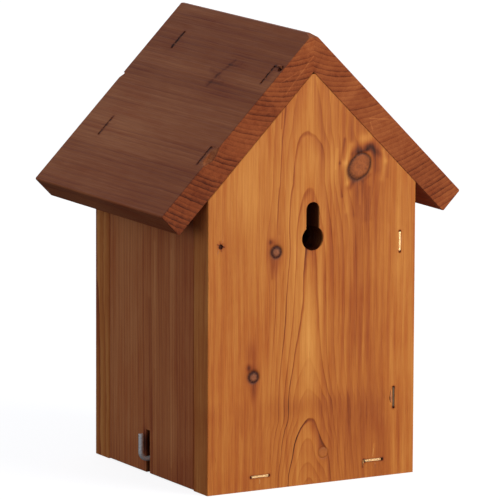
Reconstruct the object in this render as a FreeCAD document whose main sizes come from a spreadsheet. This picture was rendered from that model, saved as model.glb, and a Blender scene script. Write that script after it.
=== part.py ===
import FreeCAD, Part
import os
import math
import Sketcher
from FreeCAD import Vector, Rotation, Placement

# Gabled timber nest box with one side board that swings open on two nails.
# Millimetres, +Z up. The origin is at the centre of the base. The entrance
# front faces -Y and the wall-hanging back faces +Y. The opening side is +X.

os.makedirs("parts", exist_ok=True)
doc = FreeCAD.newDocument("nest_box")
sheet = doc.addObject("Spreadsheet::Sheet", "Dims")

# ---------------------------------------------------------------- dimensions
TABLE = [
    ("box_width", 150.0, "width over the two side boards"),
    ("side_height", 187.0, "height of the walls at the eaves"),
    ("wall", 18.0, "thickness of the wall boards"),
    ("roof_board", 17.5, "thickness of the roof boards"),
    ("back_y", 84.0, "outer face of the back panel"),
    ("box_depth", 147.0, "depth over the front and back panels"),
    ("roof_depth", 168.0, "length of the roof along the ridge"),
    ("slope_length", 152.5, "outer face of a roof board, ridge to eave"),
    ("ridge_flat", 1.1, "half width of the worn flat along the ridge"),
    ("apex_blunt", 1.3, "amount cut off the sharp top of a gable panel"),
    ("ease", 0.6, "rounding of the long board edges"),
    ("roof_ease", 1.2, "rounding of the eave edges"),
    ("key_radius", 7.75, "round part of the keyhole"),
    ("key_height", 157.0, "centre of the round part above the base"),
    ("key_slot", 9.5, "width of the keyhole's slot"),
    ("key_top", 180.0, "top of the keyhole's slot above the base"),
    ("entrance_dia", 32.0, "entrance hole"),
    ("entrance_height", 150.0, "centre of the entrance hole above the base"),
    ("floor_board", 18.0, "thickness of the floor"),
    ("floor_gap", 0.6, "gap between the floor and the door"),
    ("door_back_gap", 0.8, "gap between the door and the back panel"),
    ("door_front_gap", 0.5, "gap between the door and the front panel"),
    ("door_bottom", 0.4, "bottom edge of the door above the base"),
    ("door_top", 185.0, "top edge of the door above the base"),
    ("pivot_height", 157.0, "axis of the door above the base"),
    ("pivot_inset", 9.0, "axis of the door in from its outer face"),
    ("nail_radius", 1.25, "shank of a pivot nail"),
    ("nail_head", 1.6, "head radius of a pivot nail"),
    ("nail_play", 0.05, "radial clearance of the door on a nail"),
    ("nail_sunk", 0.9, "depth of a nail head below the panel face"),
    ("nail_length", 42.0, "length of a pivot nail"),
    ("wire_radius", 1.6, "wire of the latch hook"),
    ("hook_play", 0.06, "radial clearance of the hook in the floor"),
    ("hook_height", 9.8, "axis of the hook's shank above the base"),
    ("hook_y", 7.0, "place of the hook along the door"),
    ("hook_out", 5.1, "leg of the hook out from the door's face"),
    ("hook_top", 26.2, "end of the hook's leg above the base"),
    ("hook_bend", 4.6, "bend radius of the hook's centre line"),
    ("hook_depth", 24.0, "length of the shank inside the floor"),
    ("slot_width", 5.2, "slot in the foot of the door"),
    ("slot_top", 28.2, "end of the slot above the base"),
    ("crown", 12.8, "width of a staple over its crown"),
    ("leg", 25.0, "length of a staple's legs"),
    ("staple_thick", 1.0, "staple wire, across the crown's plane"),
    ("staple_wide", 1.3, "staple wire, width"),
    ("staple_sunk", 0.15, "depth of a crown below the wood"),
]
VALUE = {}
for row, (alias, value, note) in enumerate(TABLE, start=1):
    sheet.set("A%d" % row, note)
    sheet.set("B%d" % row, "%g" % value)
    sheet.setAlias("B%d" % row, alias)
    VALUE[alias] = value
doc.recompute()


class Q:
    """A length: its number and the expression that gives it from the sheet."""

    def __init__(self, value, text):
        self.value = float(value)
        self.text = text

    @staticmethod
    def of(other):
        return other if isinstance(other, Q) else Q(other, "%g" % other)

    def __add__(self, o):
        o = Q.of(o)
        return Q(self.value + o.value, "(%s + %s)" % (self.text, o.text))

    def __radd__(self, o):
        return Q.of(o) + self

    def __sub__(self, o):
        o = Q.of(o)
        return Q(self.value - o.value, "(%s - %s)" % (self.text, o.text))

    def __rsub__(self, o):
        return Q.of(o) - self

    def __mul__(self, o):
        o = Q.of(o)
        return Q(self.value * o.value, "(%s * %s)" % (self.text, o.text))

    def __rmul__(self, o):
        return Q.of(o) * self

    def __truediv__(self, o):
        o = Q.of(o)
        return Q(self.value / o.value, "(%s / %s)" % (self.text, o.text))

    def __neg__(self):
        return Q(-self.value, "(0 - %s)" % self.text)


def c(alias):
    return Q(VALUE[alias], "Dims." + alias)


ROOT2 = Q(math.sqrt(2.0), "sqrt(2)")

# derived lengths
half = c("box_width") / 2
wall = c("wall")
back_in = c("back_y") - wall                      # inner face of the back panel
front_out = c("back_y") - c("box_depth")          # outer face of the front panel
front_in = front_out + wall
apex = c("side_height") + half                    # roof underside at the ridge
ridge = apex + c("roof_board") * ROOT2            # sharp top of the roof
eave = c("slope_length") / ROOT2                  # outer corner of the eave, x
tuck = c("roof_board") / ROOT2
inner = half - wall                               # inner face of a side board
pivot_x = half - c("pivot_inset")


# ------------------------------------------------------------------- helpers
def plane(body, role):
    for feature in body.Origin.OriginFeatures:
        if feature.Role == role:
            return feature
    raise RuntimeError(role)


def new_body(name):
    body = doc.addObject("PartDesign::Body", name)
    return body


def place(obj, x=0.0, y=0.0, z=0.0):
    for axis, q in zip("xyz", (x, y, z)):
        q = Q.of(q)
        setattr(obj.Placement.Base, axis, q.value)
    obj.Placement = Placement(Vector(*[Q.of(v).value for v in (x, y, z)]), obj.Placement.Rotation)
    for axis, q in zip("xyz", (x, y, z)):
        if isinstance(q, Q):
            obj.setExpression("Placement.Base.%s" % axis, q.text)


def sketch(body, name, role, offset=None):
    sk = body.newObject("Sketcher::SketchObject", name)
    sk.AttachmentSupport = [(plane(body, role), "")]
    sk.MapMode = "FlatFace"
    if offset is not None:
        q = Q.of(offset)
        sk.AttachmentOffset = Placement(Vector(0, 0, q.value), Rotation())
        sk.setExpression("AttachmentOffset.Base.z", q.text)
    return sk


def pin(sk, geo, point, x, y):
    """Hold one point of a sketch at (x, y) from the sketch origin."""
    for kind, q, axis in (("DistanceX", Q.of(x), -2), ("DistanceY", Q.of(y), -1)):
        if abs(q.value) < 1e-9:
            sk.addConstraint(Sketcher.Constraint("PointOnObject", geo, point, axis))
        elif q.value > 0:
            i = sk.addConstraint(Sketcher.Constraint(kind, -1, 1, geo, point, q.value))
            sk.setExpression("Constraints[%d]" % i, q.text)
        else:
            i = sk.addConstraint(Sketcher.Constraint(kind, geo, point, -1, 1, -q.value))
            sk.setExpression("Constraints[%d]" % i, (-q).text)


def pin_z(sk, geo, point, y):
    """Hold one point of a sketch at height y only."""
    i = sk.addConstraint(Sketcher.Constraint("DistanceY", -1, 1, geo, point, y.value))
    sk.setExpression("Constraints[%d]" % i, y.text)


def polygon(sk, points):
    """Closed outline through the given points, each held by the sheet."""
    pts = [Vector(Q.of(x).value, Q.of(y).value, 0) for x, y in points]
    first = sk.GeometryCount
    n = len(pts)
    for i in range(n):
        sk.addGeometry(Part.LineSegment(pts[i], pts[(i + 1) % n]), False)
    for i in range(n):
        sk.addConstraint(Sketcher.Constraint("Coincident", first + i, 2, first + (i + 1) % n, 1))
    for i, (x, y) in enumerate(points):
        pin(sk, first + i, 1, x, y)


def circle(sk, x, y, radius):
    radius = Q.of(radius)
    g = sk.addGeometry(Part.Circle(Vector(Q.of(x).value, Q.of(y).value, 0), Vector(0, 0, 1), radius.value), False)
    pin(sk, g, 3, x, y)
    i = sk.addConstraint(Sketcher.Constraint("Radius", g, radius.value))
    sk.setExpression("Constraints[%d]" % i, radius.text)


def pad(body, sk, length, name, reverse=False, middle=False):
    feature = body.newObject("PartDesign::Pad", name)
    feature.Profile = sk
    feature.Length = Q.of(length).value
    feature.setExpression("Length", Q.of(length).text)
    feature.Reversed = reverse
    if middle:
        feature.Midplane = True
    doc.recompute()
    return feature


def pocket(body, sk, length, name, reverse=False, through=False, middle=False):
    before = body.Shape.Volume
    feature = body.newObject("PartDesign::Pocket", name)
    feature.Profile = sk
    if through:
        feature.Type = "ThroughAll"
    else:
        feature.Length = Q.of(length).value
        feature.setExpression("Length", Q.of(length).text)
    feature.Reversed = reverse
    if middle:
        feature.Midplane = True
    doc.recompute()
    if not body.Shape.Volume < before - 1e-3:
        raise RuntimeError("pocket %s cuts nothing" % name)
    return feature


def edges_where(shape, test):
    return ["Edge%d" % (i + 1) for i, e in enumerate(shape.Edges) if test(e)]


def along(e, axis):
    a, b = e.Vertexes[0].Point, e.Vertexes[-1].Point
    d = b.sub(a)
    if d.Length < 1e-6 or e.Curve.TypeId != "Part::GeomLine":
        return False
    return abs(abs(d.normalize().dot(axis)) - 1.0) < 1e-4


def fillet(body, base, names, radius, name):
    feature = body.newObject("PartDesign::Fillet", name)
    feature.Base = (base, names)
    feature.Radius = Q.of(radius).value
    feature.setExpression("Radius", Q.of(radius).text)
    doc.recompute()
    return feature


def chamfer(body, base, names, size, name):
    feature = body.newObject("PartDesign::Chamfer", name)
    feature.Base = (base, names)
    feature.Size = Q.of(size).value
    feature.setExpression("Size", Q.of(size).text)
    doc.recompute()
    return feature


# ------------------------------------------------------------------- staples
# One staple: crown along its own X, legs down its own -Z, crown top at Z = 0.
staple = new_body("staple_form")
sk = sketch(staple, "staple_outline", "XZ_Plane")
hw, th, lg = c("crown") / 2, c("staple_thick"), c("leg")
polygon(
    sk,
    [
        (-hw, 0),
        (hw, 0),
        (hw, -lg),
        (hw - th, -(lg - 1.2)),
        (hw - th, -th),
        (th - hw, -th),
        (th - hw, -(lg - 1.2)),
        (-hw, -lg),
    ],
)
base = pad(staple, sk, c("staple_wide"), "staple_wire", middle=True)


def outer_corner(e):
    p = e.CenterOfMass
    return along(e, Vector(0, 1, 0)) and abs(p.z) < 1e-6 and abs(abs(p.x) - hw.value) < 1e-6


fillet(staple, base, edges_where(base.Shape, outer_corner), 0.8, "staple_bend")

# The wood crushed round a crown: a shallow trench a little longer than the crown.
seat = new_body("staple_seat")
sk = sketch(seat, "seat_outline", "XY_Plane")
polygon(
    sk,
    [
        (-(hw + 0.7), -(c("staple_wide") / 2 + 0.12)),
        (hw + 0.7, -(c("staple_wide") / 2 + 0.22)),
        (hw + 0.7, c("staple_wide") / 2 + 0.22),
        (-(hw + 0.7), c("staple_wide") / 2 + 0.12),
    ],
)
base = pad(seat, sk, c("staple_thick") + 2 * c("staple_sunk") + 0.2, "seat_depth", middle=False)
# keep the trench's floor just under the crown and its top well above the face
seat.Placement = Placement(Vector(0, 0, 0), Rotation())

N45 = math.sqrt(0.5)


def frame_rotation(crown_dir, out_dir):
    """Rotation that sends X to the crown's direction and Z out of the wood."""
    x, z = Vector(*crown_dir), Vector(*out_dir)
    y = z.cross(x)
    return Rotation(x, y, z, "ZXY")


def link(target, name, pos, rot, sink):
    """A linked copy of a form at pos, moved along the outward direction."""
    out = rot.multVec(Vector(0, 0, 1))
    obj = doc.addObject("App::Link", name)
    obj.LinkedObject = target
    obj.LinkTransform = False
    vals = [Q.of(v) for v in pos]
    sink = Q.of(sink)
    for q, component in zip(vals, (out.x, out.y, out.z)):
        q.total = Q(q.value + sink.value * component, "(%s + (%s) * %.12g)" % (q.text, sink.text, component))
    obj.Placement = Placement(Vector(*[q.total.value for q in vals]), rot)
    for axis, q in zip("xyz", vals):
        obj.setExpression("Placement.Base.%s" % axis, q.total.text)
    return obj


def slope_point(sign, distance, depth_y):
    """A point on the outer face of a roof slope, at a distance from the ridge."""
    d = Q.of(distance) / ROOT2
    return (d if sign > 0 else -d, depth_y, ridge - d)


BACK, FRONT = (0, 1, 0), (0, -1, 0)
DOOR_SLOPE, FIXED_SLOPE = (N45, 0, N45), (-N45, 0, N45)
DOWN_DOOR, DOWN_FIXED = (N45, 0, -N45), (-N45, 0, -N45)
UP, ACROSS = (0, 0, 1), (1, 0, 0)
by = c("back_y")
GROUPS = {
    "staples_back_to_side": [
        ((-63.7, by, 149.7), UP, BACK),
        ((-59.9, by, 50.0), UP, BACK),
    ],
    "staples_back_to_floor": [
        ((37.1, by, 8.8), ACROSS, BACK),
        ((-45.2, by, 10.9), ACROSS, BACK),
    ],
    "staples_front_to_side": [
        ((-65.2, front_out, 146.0), UP, FRONT),
        ((-64.4, front_out, 52.0), UP, FRONT),
    ],
    "staples_front_to_floor": [
        ((-40.0, front_out, 9.4), ACROSS, FRONT),
        ((41.0, front_out, 8.7), ACROSS, FRONT),
    ],
    "staples_door_slope_to_back": [
        (slope_point(1, 36.9, by - 11.7), DOWN_DOOR, DOOR_SLOPE),
        (slope_point(1, 102.8, by - 8.7), DOWN_DOOR, DOOR_SLOPE),
    ],
    "staples_door_slope_to_front": [
        (slope_point(1, 28.4, front_out + 9.9), DOWN_DOOR, DOOR_SLOPE),
        (slope_point(1, 102.3, front_out + 8.0), DOWN_DOOR, DOOR_SLOPE),
    ],
    "staples_fixed_slope_to_back": [
        (slope_point(-1, 38.0, by - 7.4), DOWN_FIXED, FIXED_SLOPE),
        (slope_point(-1, 101.0, by - 8.6), DOWN_FIXED, FIXED_SLOPE),
    ],
    "staples_fixed_slope_to_front": [
        (slope_point(-1, 36.5, front_out + 6.6), DOWN_FIXED, FIXED_SLOPE),
        (slope_point(-1, 104.0, front_out + 9.6), DOWN_FIXED, FIXED_SLOPE),
    ],
}
NODES = []
STAPLES, SEATS = {}, {}
for group, places in GROUPS.items():
    copies, trenches = [], []
    for i, (pos, crown_dir, out_dir) in enumerate(places):
        rot = frame_rotation(crown_dir, out_dir)
        copies.append(link(staple, "%s_%d" % (group, i), pos, rot, -c("staple_sunk")))
        trenches.append(
            link(seat, "%s_seat_%d" % (group, i), pos, rot, -(c("staple_thick") + c("staple_sunk") + 0.05))
        )
    STAPLES[group] = doc.addObject("Part::Compound", group)
    STAPLES[group].Links = copies
    SEATS[group] = doc.addObject("Part::Compound", group + "_seats")
    SEATS[group].Links = trenches
    NODES.append(STAPLES[group])
doc.recompute()


def drilled(name, body, groups, seats=(), extra=()):
    """The board with the staples, their trenches and any other bores cut out."""
    tools = [STAPLES[g] for g in groups] + [SEATS[g] for g in seats] + list(extra)
    shape = body
    for i, tool in enumerate(tools):
        cut = doc.addObject("Part::Cut", name if i == len(tools) - 1 else "%s_cut_%d" % (name, i))
        cut.Base, cut.Tool = shape, tool
        doc.recompute()
        if not cut.Shape.Volume < shape.Shape.Volume - 1e-3:
            raise RuntimeError("%s: %s cuts nothing" % (name, tool.Name))
        shape = cut
    NODES.append(shape)
    return shape


# ------------------------------------------------------------- pivot nails
# Round wire nail: sunk head, straight shank, diamond point. Its axis is its own Z,
# head up at Z = 0.
def nail(name, y, out):
    body = new_body(name)
    sk = sketch(body, name + "_profile", "XZ_Plane")
    r, head = c("nail_radius"), c("nail_head")
    polygon(
        sk,
        [
            (0, 0),
            (head, 0),
            (head, -0.7),
            (r, -1.3),
            (r, -(c("nail_length") - 4)),
            (0, -c("nail_length")),
        ],
    )
    turn = body.newObject("PartDesign::Revolution", name + "_turned")
    turn.Profile = sk
    turn.ReferenceAxis = (sk, ["V_Axis"])
    turn.Angle = 360
    body.Placement = Placement(Vector(), Rotation(Vector(0, 0, 1), Vector(0, out, 0)))
    place(body, pivot_x, y, c("pivot_height"))
    doc.recompute()
    NODES.append(body)
    return body


nail_back = nail("pivot_nail_back", c("back_y") - c("nail_sunk"), 1)
nail_front = nail("pivot_nail_front", front_out + c("nail_sunk"), -1)


# The hole in a panel: a mouth the size of the head down to it, then the shank.
def nail_bore(name, y, out):
    """Cutter for the panel, on the nail's own axis."""
    body = new_body(name)
    sk = sketch(body, name + "_profile", "XZ_Plane")
    r, head = c("nail_radius"), c("nail_head")
    polygon(
        sk,
        [
            (0, 2),
            (head, 2),
            (head, -0.7),
            (r, -1.3),
            (r, -(wall + 2)),
            (0, -(wall + 2)),
        ],
    )
    turn = body.newObject("PartDesign::Revolution", name + "_turned")
    turn.Profile = sk
    turn.ReferenceAxis = (sk, ["V_Axis"])
    turn.Angle = 360
    body.Placement = Placement(Vector(), Rotation(Vector(0, 0, 1), Vector(0, out, 0)))
    place(body, pivot_x, y, c("pivot_height"))
    doc.recompute()
    return body


bore_back = nail_bore("back_nail_bore", c("back_y") - c("nail_sunk"), 1)
bore_front = nail_bore("front_nail_bore", front_out + c("nail_sunk"), -1)


# ------------------------------------------------------------- gable panels
def gable_outline(sk):
    blunt = c("apex_blunt")
    polygon(
        sk,
        [
            (-half, 0),
            (half, 0),
            (half, c("side_height")),
            (blunt, apex - blunt),
            (-blunt, apex - blunt),
            (-half, c("side_height")),
        ],
    )


# Back panel with the keyhole that hangs the box on a wall screw.
back = new_body("back_board")
sk = sketch(back, "back_outline", "XZ_Plane")
gable_outline(sk)
base = pad(back, sk, wall, "back_thickness")


def upright_outer(e):
    return along(e, Vector(0, 0, 1)) and abs(abs(e.CenterOfMass.x) - half.value) < 1e-6


def outline_edges(shape, y):
    """Long edges of one face of a gable panel: uprights and slopes."""
    out = []
    for i, e in enumerate(shape.Edges):
        p = e.CenterOfMass
        if abs(p.y - y) < 1e-6 and p.z > 1.0 and e.Length > 20:
            out.append("Edge%d" % (i + 1))
    return out


last = fillet(back, base, outline_edges(base.Shape, 0.0) + edges_where(
    base.Shape, lambda e: upright_outer(e) and e.CenterOfMass.y < -1), c("ease"), "back_ease")
sk = sketch(back, "keyhole_round", "XZ_Plane")
circle(sk, 0, c("key_height"), c("key_radius"))
pocket(back, sk, wall, "keyhole_bore", through=True, reverse=True)
sk = sketch(back, "keyhole_slot", "XZ_Plane")
w = c("key_slot") / 2
g0 = sk.addGeometry(Part.LineSegment(Vector(-w.value, 158, 0), Vector(w.value, 158, 0)), False)
g1 = sk.addGeometry(Part.LineSegment(Vector(w.value, 158, 0), Vector(w.value, 175, 0)), False)
g2 = sk.addGeometry(
    Part.ArcOfCircle(Part.Circle(Vector(0, 175, 0), Vector(0, 0, 1), w.value), 0, math.pi), False
)
g3 = sk.addGeometry(Part.LineSegment(Vector(-w.value, 175, 0), Vector(-w.value, 158, 0)), False)
pin(sk, g0, 1, -w, c("key_height"))
pin(sk, g0, 2, w, c("key_height"))
sk.addConstraint(Sketcher.Constraint("Coincident", g0, 2, g1, 1))
sk.addConstraint(Sketcher.Constraint("Coincident", g3, 2, g0, 1))
pin(sk, g1, 2, w, c("key_top") - w)
pin(sk, g3, 1, -w, c("key_top") - w)
sk.addConstraint(Sketcher.Constraint("Coincident", g1, 2, g2, 1))
sk.addConstraint(Sketcher.Constraint("Coincident", g2, 2, g3, 1))
pin_z(sk, g2, 3, c("key_top") - w)
pocket(back, sk, wall, "keyhole_neck", through=True, reverse=True)
place(back, 0, c("back_y"), 0)
doc.recompute()
drilled(
    "back_panel",
    back,
    ["staples_back_to_side", "staples_back_to_floor", "staples_door_slope_to_back", "staples_fixed_slope_to_back"],
    ["staples_back_to_side", "staples_back_to_floor"],
    [bore_back],
)

# Front panel with the round entrance.
front = new_body("front_board")
sk = sketch(front, "front_outline", "XZ_Plane")
gable_outline(sk)
base = pad(front, sk, wall, "front_thickness")
last = fillet(front, base, outline_edges(base.Shape, -wall.value) + edges_where(
    base.Shape, lambda e: upright_outer(e) and e.CenterOfMass.y > -1), c("ease"), "front_ease")
sk = sketch(front, "entrance_round", "XZ_Plane")
circle(sk, 0, c("entrance_height"), c("entrance_dia") / 2)
bored = pocket(front, sk, wall, "entrance", through=True, reverse=True)
rims = edges_where(
    bored.Shape,
    lambda e: e.Curve.TypeId == "Part::GeomCircle" and abs(e.Curve.Radius - VALUE["entrance_dia"] / 2) < 1e-6,
)
fillet(front, bored, rims, 0.9, "entrance_ease")
place(front, 0, front_in, 0)
doc.recompute()
drilled(
    "front_panel",
    front,
    ["staples_front_to_side", "staples_front_to_floor", "staples_door_slope_to_front", "staples_fixed_slope_to_front"],
    ["staples_front_to_side", "staples_front_to_floor"],
    [bore_front],
)

# ------------------------------------------------------------- fixed side
side = new_body("side_board")
sk = sketch(side, "side_section", "XZ_Plane")
polygon(
    sk,
    [
        (-half, 0),
        (-inner, 0),
        (-inner, c("side_height") + wall),
        (-half, c("side_height")),
    ],
)
base = pad(side, sk, back_in - front_in, "side_length")
fillet(
    side,
    base,
    edges_where(
        base.Shape,
        lambda e: abs(e.CenterOfMass.x + half.value) < 1e-6 and along(e, Vector(0, 0, 1)),
    ),
    c("ease") / 2,
    "side_ease",
)
place(side, 0, back_in, 0)
doc.recompute()
drilled("fixed_side", side, ["staples_back_to_side", "staples_front_to_side"])

# ------------------------------------------------------------- floor
# Runs between the panels; its free edge carries the latch hook's shank.
floor = new_body("floor_blank")
sk = sketch(floor, "floor_outline", "XZ_Plane")
polygon(
    sk,
    [
        (-inner, 0),
        (inner - c("floor_gap"), 0),
        (inner - c("floor_gap"), c("floor_board")),
        (-inner, c("floor_board")),
    ],
)
pad(floor, sk, back_in - front_in, "floor_length")
place(floor, 0, back_in, 0)
hook_bore = doc.addObject("Part::Cylinder", "hook_bore")
hook_bore.setExpression("Radius", (c("wire_radius") + c("hook_play")).text)
hook_bore.setExpression("Height", (c("hook_depth") + 6).text)
hook_bore.Placement = Placement(Vector(), Rotation(Vector(0, 0, 1), Vector(1, 0, 0)))
place(hook_bore, inner - c("floor_gap") - c("hook_depth") - 1, c("hook_y"), c("hook_height"))
doc.recompute()
drilled("floor_board", floor, ["staples_back_to_floor", "staples_front_to_floor"], (), [hook_bore])

# ------------------------------------------------------------- side door
door_length = c("box_depth") - 2 * wall - c("door_back_gap") - c("door_front_gap")
door_y = back_in - c("door_back_gap")
door = new_body("side_door")
sk = sketch(door, "door_section", "XZ_Plane")
polygon(
    sk,
    [
        (inner, c("door_bottom")),
        (half, c("door_bottom")),
        (half, c("door_top")),
        (inner, c("door_top")),
    ],
)
base = pad(door, sk, door_length, "door_length")
last = fillet(
    door,
    base,
    edges_where(
        base.Shape,
        lambda e: abs(e.CenterOfMass.x - half.value) < 1e-6,
    ),
    c("ease"),
    "door_ease",
)
# slot in the foot: the hook's leg passes through it when it stands upright
sk = sketch(door, "slot_outline", "YZ_Plane")
slot_y = c("hook_y") - door_y
sw = c("slot_width") / 2
polygon(
    sk,
    [
        (slot_y - sw, c("door_bottom") - 2),
        (slot_y + sw, c("door_bottom") - 2),
        (slot_y + sw, c("slot_top")),
        (slot_y - sw, c("slot_top")),
    ],
)
pocket(door, sk, wall, "latch_slot", through=True, reverse=True)
# blind bores for the two pivot nails
bore_r = c("nail_radius") + c("nail_play")
bore_d = c("nail_length") - wall + 1
sk = sketch(door, "back_bore_outline", "XZ_Plane")
circle(sk, pivot_x, c("pivot_height"), bore_r)
pocket(door, sk, bore_d, "back_bore", reverse=True)
sk = sketch(door, "front_bore_outline", "XZ_Plane", door_length)
circle(sk, pivot_x, c("pivot_height"), bore_r)
pocket(door, sk, bore_d, "front_bore")
place(door, 0, door_y, 0)
doc.recompute()
NODES.append(door)

# ------------------------------------------------------------- latch hook
# Bent wire: shank along +X out of the floor's edge, then a leg standing up.
hook = new_body("latch_hook")
path = sketch(hook, "hook_path", "XZ_Plane")
bend = c("hook_bend")
x0 = -(c("hook_depth") + c("floor_gap") + wall)      # inner end, from the door's face
x1 = c("hook_out")
leg_z = c("hook_top") - c("hook_height")
a = path.addGeometry(Part.LineSegment(Vector(x0.value, 0, 0), Vector(x1.value - bend.value, 0, 0)), False)
arc = path.addGeometry(
    Part.ArcOfCircle(
        Part.Circle(Vector(x1.value - bend.value, bend.value, 0), Vector(0, 0, 1), bend.value),
        1.5 * math.pi,
        2.0 * math.pi,
    ),
    False,
)
b = path.addGeometry(
    Part.LineSegment(Vector(x1.value, bend.value, 0), Vector(x1.value, leg_z.value, 0)), False
)
pin(path, a, 1, x0, 0)
pin(path, a, 2, x1 - bend, 0)
pin(path, b, 1, x1, bend)
pin(path, b, 2, x1, leg_z)
pin_z(path, arc, 3, bend)
path.addConstraint(Sketcher.Constraint("Coincident", a, 2, arc, 1))
path.addConstraint(Sketcher.Constraint("Coincident", arc, 2, b, 1))
wire = sketch(hook, "hook_wire", "YZ_Plane", x0)
circle(wire, 0, 0, c("wire_radius"))
pipe = hook.newObject("PartDesign::AdditivePipe", "hook_bent")
pipe.Profile = wire
pipe.Spine = path
doc.recompute()
tip = edges_where(
    pipe.Shape,
    lambda e: e.Curve.TypeId == "Part::GeomCircle" and abs(e.CenterOfMass.z - leg_z.value) < 1e-5,
)
fillet(hook, pipe, tip, 0.5, "hook_tip")
point = edges_where(
    hook.Tip.Shape,
    lambda e: e.Curve.TypeId == "Part::GeomCircle" and abs(e.CenterOfMass.x - x0.value) < 1e-5,
)
chamfer(hook, hook.Tip, point, 0.9, "hook_point")
place(hook, half, c("hook_y"), c("hook_height"))
doc.recompute()
NODES.append(hook)


# ------------------------------------------------------------- roof boards
def roof(name, sign):
    """One board of the roof, mitred against the other at the ridge."""
    body = new_body(name + "_blank")
    sk = sketch(body, name + "_section", "XZ_Plane")
    flat = c("ridge_flat")

    def x(q):
        return q if sign > 0 else -Q.of(q)

    points = [
        (0, apex),
        (0, ridge - flat),
        (x(flat), ridge - flat),
        (x(eave), ridge - eave),
        (x(eave - tuck), ridge - eave - tuck),
    ]
    polygon(sk, points)
    base = pad(body, sk, c("roof_depth"), name + "_length")
    eaves = edges_where(
        base.Shape,
        lambda e: along(e, Vector(0, 1, 0)) and abs(e.CenterOfMass.x) > (eave - tuck).value - 1e-3,
    )
    eased = fillet(body, base, eaves, c("roof_ease"), name + "_eave_ease")
    gable = []
    for i, e in enumerate(eased.Shape.Edges):
        p = e.CenterOfMass
        if (abs(p.y) < 1e-6 or abs(p.y + VALUE["roof_depth"]) < 1e-6) and e.Length > 100:
            gable.append("Edge%d" % (i + 1))
    fillet(body, eased, gable, c("ease") / 2, name + "_gable_ease")
    place(body, 0, c("back_y"), 0)
    doc.recompute()
    return body


roof_door = roof("roof_board_door_side", 1)
roof_fixed = roof("roof_board_fixed_side", -1)

# A chip out of the front end of the door-side roof board.
prism = new_body("chip_form")
sk = sketch(prism, "chip_outline", "XY_Plane")
polygon(sk, [(-2.4, -1.0), (3.2, -1.0), (2.6, 0.0), (-1.4, 2.5), (-2.2, 1.6)])
pad(prism, sk, 2 * c("roof_board") + 10, "chip_depth", middle=True)
# chip frame: X down the slope, Y along the ridge towards +Y, Z out of the slope
prism.Placement = Placement(Vector(), Rotation(Vector(N45, 0, -N45), Vector(0, 1, 0), Vector(N45, 0, N45), "ZXY"))
chip_at = slope_point(1, 63.5, c("back_y") - c("roof_depth"))
place(prism, *chip_at)
# The back tip of the ridge is worn down to a small slanted facet.
worn = new_body("tip_form")
sk = sketch(worn, "tip_outline", "YZ_Plane")
polygon(sk, [(-9.5, -0.5), (0.8, -3.45), (0.8, 2.0), (-9.5, 2.0)])
pad(worn, sk, 24, "tip_width", middle=True)
place(worn, 0, c("back_y"), ridge)


def ball(name, radius, down, y, lift):
    """A ball that bites into the door-side slope; its centre is lifted off the outer face."""
    obj = doc.addObject("Part::Sphere", name)
    obj.Radius = radius
    px, py, pz = slope_point(1, down, y)
    place(obj, px + lift * N45, py, pz + lift * N45)
    return obj


# Wood broken away at the gable edge beside the lower staple, and a pit beside the upper one.
scoop = ball("scoop_form", 13.0, 103.0, c("back_y") + 2.2, 10.3)
pit = ball("pit_form", 2.4, 30.7, c("back_y") - 3.6, 0.4)
doc.recompute()

drilled(
    "roof_board_door_side",
    roof_door,
    ["staples_door_slope_to_back", "staples_door_slope_to_front"],
    ["staples_door_slope_to_back", "staples_door_slope_to_front"],
    [prism, worn, scoop, pit],
)
drilled(
    "roof_board_fixed_side",
    roof_fixed,
    ["staples_fixed_slope_to_back", "staples_fixed_slope_to_front"],
    ["staples_fixed_slope_to_back", "staples_fixed_slope_to_front"],
    [worn],
)

# ------------------------------------------------------------- check and write
doc.recompute()
for obj in doc.Objects:
    bad = [s for s in obj.State if s in ("Invalid", "Error")]
    if bad:
        raise RuntimeError("%s: %s" % (obj.Name, bad))
SOLIDS = {}
for obj in NODES:
    obj.Label = obj.Name
    shape = obj.Shape
    if shape.isNull() or not shape.isValid():
        raise RuntimeError("%s has no valid shape" % obj.Name)
    expected = 2 if obj.Name.startswith("staples_") else 1
    if len(shape.Solids) != expected:
        raise RuntimeError("%s has %d solids" % (obj.Name, len(shape.Solids)))
    SOLIDS[obj.Name] = shape
box = None
for name, shape in sorted(SOLIDS.items()):
    shape.exportStep("parts/%s.step" % name)
    b = shape.BoundBox
    print(
        "%-30s %8.0f mm3  x %7.2f %7.2f  y %7.2f %7.2f  z %7.2f %7.2f"
        % (name, shape.Volume, b.XMin, b.XMax, b.YMin, b.YMax, b.ZMin, b.ZMax)
    )
    box = b if box is None else box.united(b)
print("whole", box)
names = sorted(SOLIDS)
for i, one in enumerate(names):
    for other in names[i + 1:]:
        if SOLIDS[one].BoundBox.intersect(SOLIDS[other].BoundBox):
            volume = SOLIDS[one].common(SOLIDS[other]).Volume
            if volume > 0.01:
                print("overlap %s %s %.3f mm3" % (one, other, volume))
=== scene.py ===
"""Birdhouse: procedural timber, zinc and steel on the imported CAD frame, with splinters, a camera, soft light and a pale floor."""
import math

import bmesh
import bpy
from mathutils import Matrix, Vector


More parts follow.
